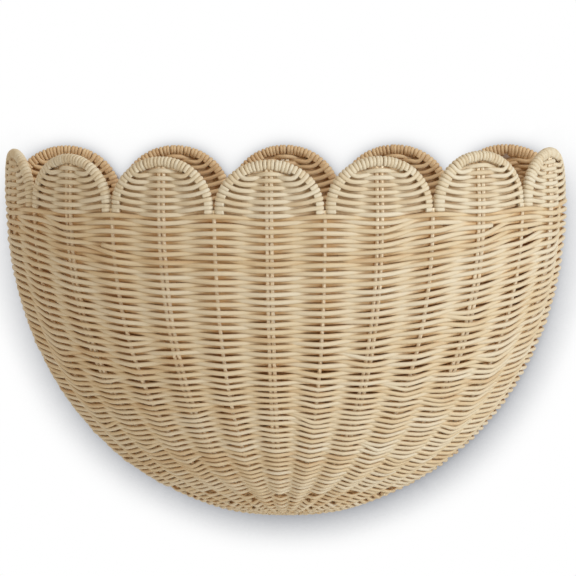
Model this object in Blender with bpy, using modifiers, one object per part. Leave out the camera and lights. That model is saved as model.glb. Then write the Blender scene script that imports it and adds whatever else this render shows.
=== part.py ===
"""A half-bowl wall basket of woven round rattan, with a scalloped rim.

The basket hangs with its flat back on the wall plane y = 0 and bulges towards -Y.
Its origin lies on the wall, midway between the two hanging holes.

The bowl is half of a superellipsoid. Its middle surface is where the stakes run, and
each point of it is given by a turn round the plan and an angle down the meridian.
The weave stands half a wall to each side of that surface, and the stakes run in
slots inside it. They rise in upright planes through the base's centre, which lies in
front of the wall, so they spread from there to the rim. Bound arch rods sit on the
weave's tongues and make the scallops, and one bound frame rod follows the outline
where the bowl meets the back.
"""

import math

import bmesh
import bpy
import numpy as np
from mathutils import Vector

# Driving dimensions, in metres
OVERALL_WIDTH = 0.320
OVERALL_DEPTH = 0.118
BOWL_HEIGHT = 0.183
SCALLOP_HEIGHT = 0.0285
BASE_WIDTH = 0.142
BASE_CENTRE_REACH = 0.018
STAKE_DIAMETER = 0.0022
WEAVER_DIAMETER = 0.0020
ARCH_DIAMETER = 0.0052
ARCH_LEG = 0.0012
PAIR_GAP = 0.0003
HOLE_WIDTH = 0.0036
HOLE_HEIGHT = 0.0038
HOLE_COVER = 0.0006

# Clearance between neighbours, overrun of the cutters, depth of the short rows that
# keep the base's seam square to the wall, and reach of a weld
FIT_GAP = 0.0003
OVERRUN = 0.003
EDGE_ROW = 0.003
WELD_REACH = 0.000001

# Counts and the superellipsoid's exponent, where 2 is a plain ellipsoid
FRONT_SCALLOPS = 7
BACK_SCALLOPS = 5
BOWL_EXPONENT = 2.09

# Steps of the curves, and the half side of the unit grid and cube
ARCH_STEPS = 10
MERIDIAN_STEPS = 10
FRAME_STEPS = 30
BASE_TURNS = 20
BASE_RINGS = 5
HOLE_SIDES = 16
PLAN_SAMPLES = 2000
STAKE_BEVEL_STEPS = 1
ROD_BEVEL_STEPS = 2
SMOOTH_ANGLE = math.radians(40)
UNIT_HALF_SHARE = 0.5

# Colours as seen in daylight, each from 0 to 255
STRAW = (222, 203, 168)
HONEY = (205, 178, 136)
PALE_CORE = (226, 206, 170)

# Sizes of the wall and of the bowl's middle surface
WALL = STAKE_DIAMETER + 2 * WEAVER_DIAMETER
HALF_WIDTH = (OVERALL_WIDTH - WALL) / 2
FRONT_PLANE = -(WALL + FIT_GAP)
FRONT_REACH = OVERALL_DEPTH - WALL / 2 + FRONT_PLANE
DROP = BOWL_HEIGHT - WALL / 2
EDGE_SETBACK = WALL / 2 + FIT_GAP

# Sizes of the arches, and the height of the valleys between them
ARCH_RADIUS = ARCH_DIAMETER / 2
ARCH_RISE = SCALLOP_HEIGHT - ARCH_RADIUS
TONGUE_RISE = ARCH_RISE - ARCH_RADIUS
TONGUE_TOP = HOLE_HEIGHT / 2 + HOLE_COVER
SHOULDER_Z = TONGUE_TOP - TONGUE_RISE
VALLEY_Z = SHOULDER_Z + FIT_GAP

# Sizes of the slots that the stakes run in
SLOT_DEPTH = STAKE_DIAMETER + 2 * FIT_GAP
PAIR_OFFSET = (STAKE_DIAMETER + PAIR_GAP) / 2
PAIR_SLOT_WIDTH = SLOT_DEPTH + 2 * PAIR_OFFSET


def linear_colour(daylight):
    """The colour as a shader takes it, from its values between 0 and 255."""
    return tuple((channel / 255) ** 2.2 for channel in daylight) + (1.0,)


def finish(name, daylight, roughness):
    """A plain rattan finish with its colour and roughness."""
    material = bpy.data.materials.new(name)
    material.use_nodes = True
    shader = material.node_tree.nodes["Principled BSDF"]
    shader.inputs["Base Color"].default_value = linear_colour(daylight)
    shader.inputs["Roughness"].default_value = roughness
    shader.inputs["Metallic"].default_value = 0.0
    return material


def meridian_angle(z):
    """The angle down the meridian at height z: 0 at the valleys, a right angle at the pole."""
    drop_share = (VALLEY_Z - z) / DROP
    return math.copysign(math.asin(abs(drop_share) ** (BOWL_EXPONENT / 2)), drop_share)


def height(angle):
    """The height of the middle surface at this angle down the meridian."""
    return VALLEY_Z - DROP * math.copysign(abs(math.sin(angle)) ** (2 / BOWL_EXPONENT), angle)


def plan_share(angle):
    """How much of the full plan the bowl keeps at this angle down the meridian."""
    return abs(math.cos(angle)) ** (2 / BOWL_EXPONENT)


def share_angle(share):
    """The angle down the meridian at which the bowl keeps this share of its plan."""
    return math.acos(share ** (BOWL_EXPONENT / 2))


def bowl_point(turn, angle):
    """A point of the middle surface. Turn 0 is the right corner."""
    share = plan_share(angle)
    x = HALF_WIDTH * share * math.cos(turn)
    y = FRONT_PLANE - FRONT_REACH * share * math.sin(turn)
    return Vector((x, y, height(angle)))


def stake_point(turn, angle, side):
    """A point of the middle surface in the stake's upright plane, moved sideways by side.

    The plane holds the base's centre and the rim at this turn. From the centre, a level
    line runs out along it to the plan's ellipse at this angle: a quadratic in its length.
    """
    rim = Vector((HALF_WIDTH * math.cos(turn), -FRONT_REACH * math.sin(turn)))
    centre = Vector((0, -BASE_CENTRE_REACH))
    out = (rim - centre).normalized()
    start = centre + side * Vector((out.y, -out.x))
    square = (out.x / HALF_WIDTH) ** 2 + (out.y / FRONT_REACH) ** 2
    half_linear = start.x * out.x / HALF_WIDTH**2 + start.y * out.y / FRONT_REACH**2
    rest = (start.x / HALF_WIDTH) ** 2 + (start.y / FRONT_REACH) ** 2 - plan_share(angle) ** 2
    length = (math.sqrt(half_linear**2 - square * rest) - half_linear) / square
    point = start + length * out
    return Vector((point.x, FRONT_PLANE + point.y, height(angle)))


def plan_runs():
    """Turns round the plan's half ellipse, with the length run from the right corner to each."""
    turns = np.linspace(0, math.pi, PLAN_SAMPLES)
    x = HALF_WIDTH * np.cos(turns)
    y = FRONT_REACH * np.sin(turns)
    steps = np.hypot(np.diff(x), np.diff(y))
    return turns, np.concatenate([[0], np.cumsum(steps)])


TURNS, RUNS = plan_runs()
FRONT_PITCH = float(RUNS[-1]) / FRONT_SCALLOPS
BACK_PITCH = 2 * HALF_WIDTH / BACK_SCALLOPS
BASE_ANGLE = share_angle(BASE_WIDTH / 2 / HALF_WIDTH)


def turn_at(run):
    """The turn at which the plan's edge has run this length from the right corner."""
    return float(np.interp(run, RUNS, TURNS))


def arch_half(pitch):
    """Half the width of an arch, from one leg's middle to the other's."""
    return pitch / 2 - FIT_GAP - ARCH_RADIUS


def arch_line(pitch):
    """An arch rod's middle line as (across, up): short upright legs and a half ellipse."""
    half = arch_half(pitch)
    line = [(-half, 0)]
    for step in range(ARCH_STEPS + 1):
        a = math.pi * step / ARCH_STEPS
        line.append((-half * math.cos(a), ARCH_LEG + (ARCH_RISE - ARCH_LEG) * math.sin(a)))
    return line + [(half, 0)]


def rim_line(pitch, count):
    """The weave's top edge as (run, z): a half-ellipse tongue under each arch, shoulders between."""
    tongue_half = arch_half(pitch) - ARCH_RADIUS - FIT_GAP
    line = [(0, SHOULDER_Z)]
    for scallop in range(count):
        middle = (scallop + 0.5) * pitch
        for step in range(ARCH_STEPS + 1):
            a = math.pi * step / ARCH_STEPS
            run = middle - tongue_half * math.cos(a)
            line.append((run, SHOULDER_Z + TONGUE_RISE * math.sin(a)))
        line.append(((scallop + 1) * pitch, SHOULDER_Z))
    return line


def wall_angles(top_z):
    """Angles down the meridian of the front weave's rows, from its lower edge to its top."""
    first = BASE_ANGLE - EDGE_ROW / DROP
    span = meridian_angle(top_z) - first
    return [BASE_ANGLE] + [first + span * row / MERIDIAN_STEPS for row in range(MERIDIAN_STEPS + 1)]


def stake_angles(top_z):
    """Angles down the meridian from the base to a stake's top, in the bowl's own steps."""
    top = meridian_angle(top_z)
    step = BASE_ANGLE / MERIDIAN_STEPS
    angles = [BASE_ANGLE - step * index for index in range(MERIDIAN_STEPS + 1)]
    return [angle for angle in angles if angle > top + step / 2] + [top]


def back_edge_z(x):
    """The height of the back panel's lower edge at x, inside the frame rod."""
    share = abs(x) / (HALF_WIDTH - EDGE_SETBACK)
    return VALLEY_Z - (DROP - EDGE_SETBACK) * (1 - share**BOWL_EXPONENT) ** (1 / BOWL_EXPONENT)


def clear_scene():
    """Removes what the scene holds."""
    for thing in list(bpy.data.objects):
        bpy.data.objects.remove(thing)


def new_collection(name, parent):
    """A named collection inside another."""
    collection = bpy.data.collections.new(name)
    parent.children.link(collection)
    return collection


def add_piece(name, data, material):
    """One piece of the basket, with its finish, under the basket's empty."""
    piece = bpy.data.objects.new(name, data)
    if data.materials:
        data.materials[0] = material
    else:
        data.materials.append(material)
    PIECES.objects.link(piece)
    piece.parent = BASKET
    return piece


def add_cutter(name, mesh, collection):
    """A helper that cuts, drawn as wire and left out of renders."""
    cutter = bpy.data.objects.new(name, mesh)
    cutter.hide_render = True
    cutter.display_type = "WIRE"
    collection.objects.link(cutter)
    cutter.parent = BASKET
    return cutter


def shade_round(mesh):
    """Smooth shading with the square edges kept sharp."""
    mesh.shade_smooth()
    mesh.set_sharp_from_angle(angle=SMOOTH_ANGLE)


def bent_grid(name, columns, rows, place):
    """A grid primitive whose vertex in column i and row j is moved to place(i, j)."""
    shape = bmesh.new()
    bmesh.ops.create_grid(shape, x_segments=columns, y_segments=rows, size=UNIT_HALF_SHARE)
    for vertex in shape.verts:
        i = round((vertex.co.x + UNIT_HALF_SHARE) * columns)
        j = round((vertex.co.y + UNIT_HALF_SHARE) * rows)
        vertex.co = place(i, j)
    bmesh.ops.remove_doubles(shape, verts=shape.verts, dist=WELD_REACH)
    mesh = bpy.data.meshes.new(name)
    shape.to_mesh(mesh)
    shape.free()
    shade_round(mesh)
    return mesh


def thicken(piece, thickness):
    """Gives an open surface its wall, half to each side."""
    solidify = piece.modifiers.new("wall", "SOLIDIFY")
    solidify.thickness = thickness
    solidify.offset = 0
    solidify.use_even_offset = True
    solidify.use_quality_normals = True


def cut_all(piece, collection):
    """Cuts every cutter of the collection out of the piece."""
    cut = piece.modifiers.new("slots", "BOOLEAN")
    cut.operation = "DIFFERENCE"
    cut.solver = "EXACT"
    cut.operand_type = "COLLECTION"
    cut.collection = collection


def rod_curve(name, points, diameter, bevel_steps):
    """A round rod along the points, with filled ends."""
    curve = bpy.data.curves.new(name, "CURVE")
    curve.dimensions = "3D"
    curve.bevel_depth = diameter / 2
    curve.bevel_resolution = bevel_steps
    curve.use_fill_caps = True
    spline = curve.splines.new("POLY")
    spline.points.add(len(points) - 1)
    for target, point in zip(spline.points, points):
        target.co = (*point, 1)
    return curve


def slot_cutter(name, run, width, angles):
    """A strip along a front stake's path, as wide and as thick as the stake's slot."""
    turn = turn_at(run)
    over = OVERRUN / DROP
    reach = [angles[0] + over] + angles + [angles[-1] - over]

    def place(i, j):
        return stake_point(turn, reach[j], (i - UNIT_HALF_SHARE) * width)

    mesh = bent_grid(name, 1, len(reach) - 1, place)
    thicken(add_cutter(name, mesh, FRONT_CUTTERS), SLOT_DEPTH)


def box_cutter(name, x, width, bottom, top):
    """An upright slot inside the back panel."""
    shape = bmesh.new()
    bmesh.ops.create_cube(shape, size=2 * UNIT_HALF_SHARE)
    for vertex in shape.verts:
        vertex.co.x *= width
        vertex.co.y *= SLOT_DEPTH
        vertex.co.z *= top - bottom
    mesh = bpy.data.meshes.new(name)
    shape.to_mesh(mesh)
    shape.free()
    cutter = add_cutter(name, mesh, BACK_CUTTERS)
    cutter.location = (x, -WALL / 2, (top + bottom) / 2)


def hole_cutter(name, x):
    """A hanging hole through the back panel: a round bar, squeezed to the hole's oval."""
    shape = bmesh.new()
    bmesh.ops.create_cone(
        shape,
        cap_ends=True,
        segments=HOLE_SIDES,
        radius1=UNIT_HALF_SHARE,
        radius2=UNIT_HALF_SHARE,
        depth=2 * UNIT_HALF_SHARE,
    )
    for vertex in shape.verts:
        vertex.co.x *= HOLE_WIDTH
        vertex.co.y *= HOLE_HEIGHT
        vertex.co.z *= WALL + 2 * OVERRUN
    mesh = bpy.data.meshes.new(name)
    shape.to_mesh(mesh)
    shape.free()
    cutter = add_cutter(name, mesh, BACK_CUTTERS)
    cutter.location = (x, -WALL / 2, 0)
    cutter.rotation_euler = (math.pi / 2, 0, 0)


def front_weave():
    """The bowl's woven wall, from the base's edge up to the scalloped tongues."""
    columns = [(turn_at(run), wall_angles(z)) for run, z in rim_line(FRONT_PITCH, FRONT_SCALLOPS)]

    def place(i, j):
        turn, angles = columns[i]
        return bowl_point(turn, angles[j])

    mesh = bent_grid("front_weave", len(columns) - 1, MERIDIAN_STEPS + 1, place)
    piece = add_piece("front_weave", mesh, WEAVE_FINISH)
    thicken(piece, WALL)
    cut_all(piece, FRONT_CUTTERS)


def front_stake(name, run, side, top_z):
    """One stake of the bowl, from the base's edge up to its top."""
    turn = turn_at(run)
    points = [stake_point(turn, angle, side) for angle in stake_angles(top_z)]
    add_piece(name, rod_curve(name, points, STAKE_DIAMETER, STAKE_BEVEL_STEPS), STAKE_FINISH)


def front_stakes():
    """A pair of stakes up the middle of each front scallop, and one at each valley."""
    for scallop in range(FRONT_SCALLOPS):
        run = (scallop + 0.5) * FRONT_PITCH
        label = scallop + 1
        front_stake(f"front_pair_stake_{label}_right", run, -PAIR_OFFSET, TONGUE_TOP)
        front_stake(f"front_pair_stake_{label}_left", run, PAIR_OFFSET, TONGUE_TOP)
        slot_cutter(f"front_pair_slot_{label}", run, PAIR_SLOT_WIDTH, stake_angles(TONGUE_TOP))
    for valley in range(1, FRONT_SCALLOPS):
        run = valley * FRONT_PITCH
        front_stake(f"front_valley_stake_{valley}", run, 0, SHOULDER_Z)
        slot_cutter(f"front_valley_slot_{valley}", run, SLOT_DEPTH, stake_angles(SHOULDER_Z))


def front_arches():
    """The bound rods that arch over the front tongues."""
    for scallop in range(FRONT_SCALLOPS):
        middle = (scallop + 0.5) * FRONT_PITCH
        points = [
            bowl_point(turn_at(middle + across), meridian_angle(VALLEY_Z + up))
            for across, up in arch_line(FRONT_PITCH)
        ]
        name = f"front_arch_{scallop + 1}"
        add_piece(name, rod_curve(name, points, ARCH_DIAMETER, ROD_BEVEL_STEPS), ROD_FINISH)


def back_outline():
    """The back panel's outline as (x, z): the scalloped top, then the edge inside the frame."""
    rim = rim_line(BACK_PITCH, BACK_SCALLOPS)[1:-1]
    top = [(run - HALF_WIDTH, z) for run, z in rim]
    start = meridian_angle(SHOULDER_Z)
    sweep = math.pi - 2 * start
    edge = []
    for step in range(FRAME_STEPS + 1):
        angle = start + sweep * step / FRAME_STEPS
        across = math.copysign(plan_share(angle), math.cos(angle))
        down = abs(math.sin(angle)) ** (2 / BOWL_EXPONENT)
        edge.append(((HALF_WIDTH - EDGE_SETBACK) * across, VALLEY_Z - (DROP - EDGE_SETBACK) * down))
    return top + edge


def flat_panel_mesh(name, outline, thickness):
    """A flat plate of this outline, made from a filled curve and welded shut."""
    curve = bpy.data.curves.new(name, "CURVE")
    curve.dimensions = "2D"
    curve.fill_mode = "BOTH"
    curve.extrude = thickness / 2
    spline = curve.splines.new("POLY")
    spline.points.add(len(outline) - 1)
    for target, (x, z) in zip(spline.points, outline):
        target.co = (x, z, 0, 1)
    spline.use_cyclic_u = True
    guide = bpy.data.objects.new(name + "_guide", curve)
    bpy.context.scene.collection.objects.link(guide)
    bpy.context.view_layer.update()
    graph = bpy.context.evaluated_depsgraph_get()
    mesh = bpy.data.meshes.new_from_object(guide.evaluated_get(graph))
    bpy.data.objects.remove(guide)
    shape = bmesh.new()
    shape.from_mesh(mesh)
    bmesh.ops.remove_doubles(shape, verts=shape.verts, dist=WELD_REACH)
    shape.to_mesh(mesh)
    shape.free()
    mesh.name = name
    return mesh


def back_weave():
    """The flat woven back, upright against the wall plane, with its slots and hanging holes."""
    mesh = flat_panel_mesh("back_weave", back_outline(), WALL)
    piece = add_piece("back_weave", mesh, WEAVE_FINISH)
    piece.location = (0, -WALL / 2, 0)
    piece.rotation_euler = (math.pi / 2, 0, 0)
    cut_all(piece, BACK_CUTTERS)


def back_stake(name, x, top):
    """One upright stake of the back, from just above the frame rod."""
    bottom = back_edge_z(abs(x) + STAKE_DIAMETER / 2)
    points = [Vector((0, 0, 0)), Vector((0, 0, top - bottom))]
    curve = rod_curve(name, points, STAKE_DIAMETER, STAKE_BEVEL_STEPS)
    stake = add_piece(name, curve, STAKE_FINISH)
    stake.location = (x, -WALL / 2, bottom)


def back_slot(name, x, width, top):
    """The slot for the back stakes at x, open at the panel's lower edge."""
    box_cutter(name, x, width, back_edge_z(abs(x)) - 2 * OVERRUN - width, top)


def back_stakes():
    """A pair of stakes up the middle of each back scallop, and one at each valley."""
    for scallop in range(BACK_SCALLOPS):
        x = (scallop + 0.5) * BACK_PITCH - HALF_WIDTH
        label = scallop + 1
        holed = scallop in (0, BACK_SCALLOPS - 1)
        stake_top = -TONGUE_TOP if holed else TONGUE_TOP
        slot_top = stake_top + (FIT_GAP if holed else OVERRUN)
        back_stake(f"back_pair_stake_{label}_left", x - PAIR_OFFSET, stake_top)
        back_stake(f"back_pair_stake_{label}_right", x + PAIR_OFFSET, stake_top)
        back_slot(f"back_pair_slot_{label}", x, PAIR_SLOT_WIDTH, slot_top)
        if holed:
            hole_cutter(f"hanging_hole_{label}", x)
    for valley in range(1, BACK_SCALLOPS):
        x = valley * BACK_PITCH - HALF_WIDTH
        back_stake(f"back_valley_stake_{valley}", x, SHOULDER_Z)
        back_slot(f"back_valley_slot_{valley}", x, SLOT_DEPTH, SHOULDER_Z + OVERRUN)


def back_arches():
    """The bound rods that arch over the back tongues: one shape, placed along the back."""
    points = [Vector((across, 0, up)) for across, up in arch_line(BACK_PITCH)]
    curve = rod_curve("back_arch", points, ARCH_DIAMETER, ROD_BEVEL_STEPS)
    for scallop in range(BACK_SCALLOPS):
        arch = add_piece(f"back_arch_{scallop + 1}", curve, ROD_FINISH)
        arch.location = ((scallop + 0.5) * BACK_PITCH - HALF_WIDTH, -WALL / 2, VALLEY_Z)


def outline_frame():
    """The bound rod round the back's outline, up to the shoulders at both corners."""
    start = meridian_angle(SHOULDER_Z)
    sweep = math.pi - 2 * start
    points = []
    for step in range(FRAME_STEPS + 1):
        angle = start + sweep * step / FRAME_STEPS
        across = math.copysign(plan_share(angle), math.cos(angle))
        down = abs(math.sin(angle)) ** (2 / BOWL_EXPONENT)
        points.append(Vector((HALF_WIDTH * across, 0, VALLEY_Z - DROP * down)))
    curve = rod_curve("outline_frame", points, WALL, ROD_BEVEL_STEPS)
    frame = add_piece("outline_frame", curve, ROD_FINISH)
    frame.location = (0, -WALL / 2, 0)


def base_weave():
    """The bowl's closed base, woven first: the cap inside the front weave's lower edge."""
    edge = share_angle(plan_share(BASE_ANGLE) - FIT_GAP / FRONT_REACH)
    inner_share = plan_share(edge + EDGE_ROW / DROP)
    rings = [share_angle(inner_share * ring / BASE_RINGS) for ring in range(BASE_RINGS + 1)]
    rings.append(edge)

    def place(i, j):
        return bowl_point(math.pi * i / BASE_TURNS, rings[j])

    mesh = bent_grid("base_weave", BASE_TURNS, BASE_RINGS + 1, place)
    thicken(add_piece("base_weave", mesh, WEAVE_FINISH), WALL)


clear_scene()
PIECES = new_collection("wall_basket", bpy.context.scene.collection)
CUTTERS = new_collection("cutters", bpy.context.scene.collection)
FRONT_CUTTERS = new_collection("front_cutters", CUTTERS)
BACK_CUTTERS = new_collection("back_cutters", CUTTERS)
BASKET = bpy.data.objects.new("wall_basket", None)
PIECES.objects.link(BASKET)

WEAVE_FINISH = finish("woven_rattan", STRAW, 0.62)
ROD_FINISH = finish("bound_rod", HONEY, 0.58)
STAKE_FINISH = finish("peeled_stake", PALE_CORE, 0.55)

front_stakes()
front_weave()
front_arches()
back_stakes()
back_weave()
back_arches()
outline_frame()
base_weave()
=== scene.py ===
"""Looks of a half-bowl wall basket woven of round rattan core.

Every weaver, binding turn and rod is a round strand carried along a path on the basket's own
surfaces. A path has points on a middle surface, moved along the outward normal by plus or
minus a stake's and a strand's radius where it passes a stake, and the strands of a wall are
stacked a pitch apart down the stakes. All lengths are in metres, in the frame's axes.
"""

import math

import bpy
import numpy as np
from mathutils import Matrix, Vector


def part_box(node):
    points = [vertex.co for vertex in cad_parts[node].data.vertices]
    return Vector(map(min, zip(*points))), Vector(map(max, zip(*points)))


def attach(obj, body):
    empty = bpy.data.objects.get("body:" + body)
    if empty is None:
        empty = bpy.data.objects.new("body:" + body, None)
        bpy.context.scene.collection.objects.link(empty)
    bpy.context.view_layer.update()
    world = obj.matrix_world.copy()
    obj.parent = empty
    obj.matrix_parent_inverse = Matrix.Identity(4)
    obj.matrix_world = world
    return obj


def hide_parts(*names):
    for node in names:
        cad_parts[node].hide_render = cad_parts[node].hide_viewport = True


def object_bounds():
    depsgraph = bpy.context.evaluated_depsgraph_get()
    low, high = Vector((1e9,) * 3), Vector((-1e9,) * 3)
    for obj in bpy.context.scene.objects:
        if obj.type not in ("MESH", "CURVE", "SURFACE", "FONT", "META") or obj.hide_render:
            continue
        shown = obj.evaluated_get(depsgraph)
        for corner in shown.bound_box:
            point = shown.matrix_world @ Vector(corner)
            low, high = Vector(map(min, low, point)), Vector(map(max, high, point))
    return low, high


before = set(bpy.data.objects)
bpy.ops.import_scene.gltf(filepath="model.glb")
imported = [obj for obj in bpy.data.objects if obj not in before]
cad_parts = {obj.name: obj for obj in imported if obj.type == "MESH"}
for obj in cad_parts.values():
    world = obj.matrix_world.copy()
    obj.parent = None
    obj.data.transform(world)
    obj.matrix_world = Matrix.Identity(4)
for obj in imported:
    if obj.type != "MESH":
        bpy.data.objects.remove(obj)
cad_low, cad_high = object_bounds()

# Sizes taken from the frame, with its wall, its arch rods and the bowl's back edge
WALL = 0.0062
ARCH_RADIUS = 0.0026
HALF_WIDTH = cad_high.x - WALL / 2
FRONT_PLANE = -0.0065
FRONT_REACH = -cad_low.y - WALL / 2 + FRONT_PLANE
VALLEY_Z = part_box("back_arch_1")[0].z
DROP = VALLEY_Z - cad_low.z - WALL / 2
ARCH_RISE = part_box("back_arch_1")[1].z - VALLEY_Z - ARCH_RADIUS

# Shape of the bowl, and the counts of its scallops' halves
ROUND = 2.09
BASE_SHARE = 0.4525
BASE_CENTRE_REACH = 0.018
FRONT_STATIONS = 14
BACK_STATIONS = 10

# Samples along the plan, down the meridians, and between two stakes
PLAN_SAMPLES = 2001
LEVELS = 300
STEPS = 10

# Strands: radii, how much wider than round they are pressed, and how straight they run
SIDES = 8
STAKE_RADIUS = 0.0011
CORE_RADIUS = 0.00110
FINE_RADIUS = 0.00100
WEAVE_WIDENING = 1.22
BEHIND_WIDENING = 0.2
BINDING_WIDENING = 1.24
TURN_WIDENING = 1.08
SWING_SHARPNESS = 0.95

# Unevenness of handwork: a strand's thickness, the start of its pattern, the waves round the
# basket and how their sizes spread, the rows' heights and swings, a tongue's rows, and the places
# and lengths of the binding's turns
THICKNESSES = (0.95, 1.05)
PATTERN_STARTS = (0, 50)
WAVES = (2, 3, 5, 8, 13, 19)
WAVE_SPREAD = 0.5
ROW_WAVE = 0.00022
SWING_WAVE = 0.00018
TONGUE_WAVE = 0.00012
TURN_WAVE = 0.00016
TURN_LENGTHS = (0.88, 1.1)
# Seeds of the draws for the back's rows, and for the rods and the weavers of the tongues
BACK_ROW_SEED = 200
FRONT_ROD_SEED, BACK_ROD_SEED = 20, 30
FRONT_TONGUE_SEED, BACK_TONGUE_SEED = 40, 60

# Rows of the bowl and of the back: pitches and counts
UPPER_PITCH = 0.00212
LOWER_PITCH = 0.00176
BACK_PITCH = 0.0021
UPPER_ROWS = 43
LOWER_ROWS = 46

# Where the rows start below the valleys, and how much lower in the middle of a scallop
ROW_START = 0.0036
ROW_SAG = 0.0019
SAG_FADE = 0.025

# Pairs of short rows, as {row they start at: (left end, right end)} in stations
SHORT_PAIRS = {1: (3, 9), 4: (2, 10), 7: (4, 11), 11: (1, 12), 16: (0, 13)}
# Pairs of rows that turn back before the middle, as {row they follow: stations reached}
LEFT_PAIRS = {32: 4, 38: 2, 42: 3, 46: 1, 51: 5, 57: 2, 64: 3, 69: 4}
RIGHT_PAIRS = {28: 3, 34: 5, 39: 2, 43: 4, 48: 3, 53: 6, 58: 2, 63: 4, 68: 3}
# Ends that stay in sight before a stake, as (row, station); all others go on behind the next one
SEEN_ENDS = {(8, 4), (7, 11), (12, 12)}
# How far past a stake a row counts in the stack and how far its strand goes: for an end behind
# that stake, and for one that has passed before it and has to get behind the others
SHORT_END = (0.25, 0.15)
LONG_END = (0.5, 0.75)
# Stations over which a short row's end is felt: in the row itself, how much wider in each row
# below it, and at most
LEAST_SPREAD = 0.6
SPREAD_GROWTH = 1.22
WIDEST_SPREAD = 3.0
# How far the rows dip at the valley stakes, the shares of all rows where the dip starts, after
# which it is full and over which it ends, and its half width in stations
VALLEY_DIP = 0.0011
DIP_START = 0.2
DIP_GROWTH = 0.3
DIP_END = 0.1
DIP_HALF_WIDTH = 0.5
# How much closer the rows lie at the corners, and over how many stations
CORNER_SQUEEZE = 0.085
SQUEEZE_REACH = 2.6

# Corners: radius of the turn round the frame rod, its steps, and the tail's points beyond it
CORNER_RADIUS = 0.0034
CORNER_SAMPLES = 6
TAIL = (0.0016, 0.0032, 0.0048)

# Rod inside the bound outline: its radius, how far inside the bowl's line it lies, its samples,
# and its share of the painted shade of strands that lie behind, and its tone
FRAME_CORE_RADIUS = 0.0016
FRAME_INSET = 0.001
FRAME_SAMPLES = 161
FRAME_INWARD = 0.5
FRAME_TONE = 0.4

# Back panel: room under its lowest row and beside its rows' ends, where their swing fades, and
# the samples of the shortest row
BACK_FOOT = 0.0020
BACK_EDGE = 0.0022
BACK_FADE = 0.011
LEAST_SAMPLES = 4

# Base: pitch, first row in pitches, radius of its heart, loss of swing and rise of the middle
BASE_PITCH = 0.0020
BASE_START = 0.6
BASE_HEART = 0.0012
BASE_FLATTENING = 0.75
BASE_BULGE = 0.0018
BULGE_SHARE = 0.6
# Samples by which a row that turns back passes its last stake
BASE_PASS = 2
# Golden shares pick the pairs of base rows that turn back
GOLDEN_STEP = 0.618034
GOLDEN_START = 0.3

# Arches: gap at the valleys, legs and their drop below them, samples, the length over which a
# direction is measured, and the rod and its binding
ARCH_GAP = 0.0029
ARCH_LEG = 0.0012
LEG_DROP = 0.0020
ARCH_SAMPLES = 121
ARCH_STEP = 0.0004
ROD_RADIUS = 0.00070
ROD_SAMPLES = 60
ROD_TONE = 0.3
BINDING_RADIUS = 0.00103
BINDING_RING = ROD_RADIUS + BINDING_RADIUS
FRONT_BINDING_REACH = 0.0026
BACK_BINDING_REACH = 0.0022
HOLED_BINDING_REACH = 0.0036
# Share of the ring by which a turn's ends are pushed into the weave, and its samples
TUCK_SHARE = 0.9
TURN_SAMPLES = 9
TUCK_SAMPLES = 5
# How much higher some of the front tongues stand than the others, by their count from the left
FRONT_RISES = {3: -0.0014, 5: 0.0011}

# Tongues: rows, their pitch up the middle and along the legs, how low the lowest one hangs, and
# the stubs of their ends
TONGUE_ROWS = 13
TONGUE_PITCH = 0.0020
FRONT_TONGUE_SAG = 0.0032
BACK_TONGUE_SAG = 0.0040
LEG_PITCH = 0.0023
LOWEST_RUN = 0.0008
LEFT_STUB = 0.0029
RIGHT_STUB = 0.0019
HIDDEN_STUB = 0.0030
# How far a weaver runs square to the rod, from which share of the half width it runs level, the
# share of the way to the stakes over which it keeps to its side, and its samples
SQUARE_RUN = 0.0062
LEVEL_SHARE = 0.66
KEPT_SIDE = 0.3
HALF_SAMPLES = 17
WRAP_SAMPLES = 7
STUB_SAMPLES = 4
# Depth behind the middle at which a tongue's strand takes the full painted shade of strands that
# lie behind, and the length by which its directions are carried over to the basket
FAR_DEPTH = 0.003
PLACE_STEP = 0.0001

# Hanging holes: how far the rows next to one go round it, counted from the top one, the reach of
# that detour, and the shortest turn over it with what it gains away from the middle
HOLE_DETOURS = {1: -0.0018, 2: -0.0013, 3: -0.0008, 4: -0.0004, 5: -0.0002}
DETOUR_REACH = 0.0032
HOLE_TURN = 0.0020
HOLE_GAIN = 1.6
HOLE_REACH = 0.0045

# Colours as seen in daylight, from 0 to 255: the darkest, middle and palest skin, a painted warm
# shade for the parts of strands that lie behind, and a painted shade for the grooves between strands
STRAW = ((176, 130, 80), (207, 183, 146), (217, 204, 181), (244, 204, 148), (192, 144, 92))
PALE = ((186, 152, 108), (210, 191, 160), (217, 204, 181), (240, 203, 152), (206, 162, 108))
# Straw and pale binding made darker and warmer, as painted shade on the back inside the bowl
SHADED_STRAW = ((160, 112, 66), (198, 163, 120), (214, 184, 142), (214, 168, 114), (152, 106, 64))
SHADED_PALE = ((164, 116, 70), (204, 169, 126), (220, 190, 148), (220, 174, 120), (156, 110, 68))
PEELED = ((186, 130, 76), (220, 180, 128), (238, 212, 170), (206, 160, 106), (150, 100, 52))
STAKE_STOPS = [(0.25, (232, 198, 152)), (0.55, (250, 230, 196)), (0.85, (253, 242, 220))]
FLOOR_GREY = (238, 238, 238)
# Painted shadow on the glowing wall: the halo round the basket, and the dark brown painted where the
# basket covers the wall
HALO_STOPS = [(0.35, (158, 160, 165)), (0.94, (255, 255, 255))]
HOLE_SHADE = (112, 82, 52)

# Painted shade on a strand's flanks, where it touches its neighbours: where it starts and is
# darkest, counted from its face as shares of the way round, between which shares the far side of
# a two-sided strand is bright again, and how dark a flank gets
FLANK = (0.17, 0.32)
FAR_SIDE = (0.46, 0.34)
FLANK_SHADE_DEPTH = 0.6

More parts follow.
